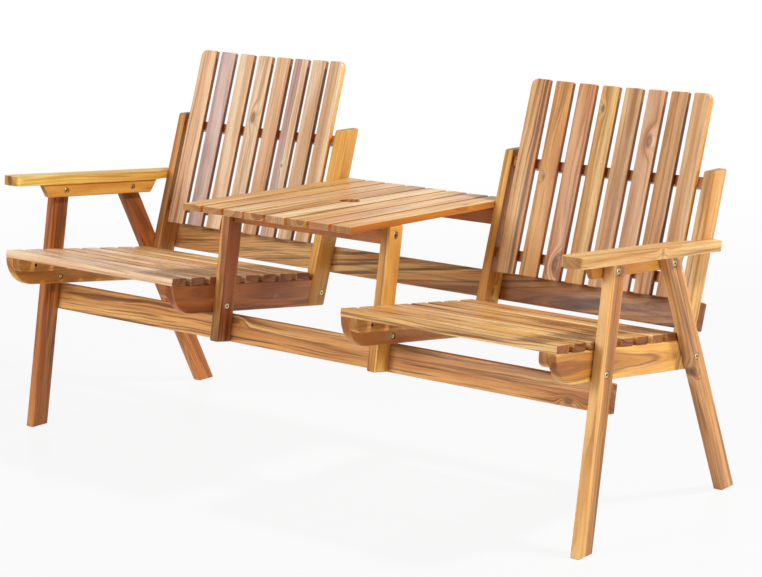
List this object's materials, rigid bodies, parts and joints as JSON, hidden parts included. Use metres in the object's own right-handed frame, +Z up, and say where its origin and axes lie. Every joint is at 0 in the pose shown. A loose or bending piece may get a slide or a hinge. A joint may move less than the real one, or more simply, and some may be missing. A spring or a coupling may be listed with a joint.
{
  "type": "garden bench with table",
  "caption": "Two slatted wooden garden armchairs with hollow-curved backs, joined by long rails and a slatted table with a parasol hole between them.",
  "frame": {"origin": "on the floor, under the middle of the bench's box", "axes": "+X across the bench towards the sitter's left side, +Y from the front edge of the seats to the backs, +Z up"},
  "size_m": [1.5796, 0.7323, 0.8718],
  "materials": {
    "acacia_frame": "oiled, satin",
    "acacia_golden": "oiled, satin",
    "acacia_dark": "oiled, satin",
    "acacia_pale": "oiled, satin",
    "acacia_mauve": "oiled, satin",
    "acacia_seat": "oiled, satin",
    "yellow_plated_steel": "yellow passivated zinc plating"
  },
  "bodies": {
    "root": {"front_leg_left": "acacia_frame", "front_leg_right": "acacia_frame", "rear_leg_left": "acacia_frame", "rear_leg_right": "acacia_frame", "table_post_left": "acacia_frame", "table_post_right": "acacia_frame", "back_stile_left_outer": "acacia_frame", "back_stile_left_inner": "acacia_frame", "back_stile_right_outer": "acacia_frame", "back_stile_right_inner": "acacia_frame", "seat_side_rail_left_outer": "acacia_golden", "seat_side_rail_left_inner": "acacia_dark", "seat_side_rail_right_outer": "acacia_golden", "seat_side_rail_right_inner": "acacia_dark", "seat_panel_left": "acacia_seat", "seat_panel_right": "acacia_seat", "lower_cross_rail_left": "acacia_dark", "upper_cross_rail_left": "acacia_dark", "lower_cross_rail_right": "acacia_dark", "upper_cross_rail_right": "acacia_dark", "back_slat_left_1": "acacia_golden", "back_slat_left_2": "acacia_mauve", "back_slat_left_3": "acacia_pale", "back_slat_left_4": "acacia_pale", "back_slat_left_5": "acacia_golden", "back_slat_left_6": "acacia_mauve", "back_slat_left_7": "acacia_pale", "back_slat_left_8": "acacia_mauve", "back_slat_right_1": "acacia_frame", "back_slat_right_2": "acacia_frame", "back_slat_right_3": "acacia_golden", "back_slat_right_4": "acacia_pale", "back_slat_right_5": "acacia_mauve", "back_slat_right_6": "acacia_pale", "back_slat_right_7": "acacia_frame", "back_slat_right_8": "acacia_golden", "front_stretcher": "acacia_dark", "rear_rail": "acacia_dark", "table_top": "acacia_pale", "arm_left": "acacia_golden", "arm_right": "acacia_golden", "arm_support_left": "acacia_frame", "arm_support_right": "acacia_frame", "front_leg_upper_bolt_left": "yellow_plated_steel", "front_leg_upper_bolt_right": "yellow_plated_steel", "front_leg_lower_bolt_left": "yellow_plated_steel", "front_leg_lower_bolt_right": "yellow_plated_steel", "rear_leg_upper_bolt_left": "yellow_plated_steel", "rear_leg_upper_bolt_right": "yellow_plated_steel", "rear_leg_lower_bolt_left": "yellow_plated_steel", "rear_leg_lower_bolt_right": "yellow_plated_steel", "table_post_bolt_left": "yellow_plated_steel", "table_post_bolt_right": "yellow_plated_steel", "back_stile_bolt_left": "yellow_plated_steel", "back_stile_bolt_right": "yellow_plated_steel", "table_front_bolt_left": "yellow_plated_steel", "table_front_bolt_right": "yellow_plated_steel", "table_rear_bolt_left": "yellow_plated_steel", "table_rear_bolt_right": "yellow_plated_steel"}
  },
  "joints": []
}
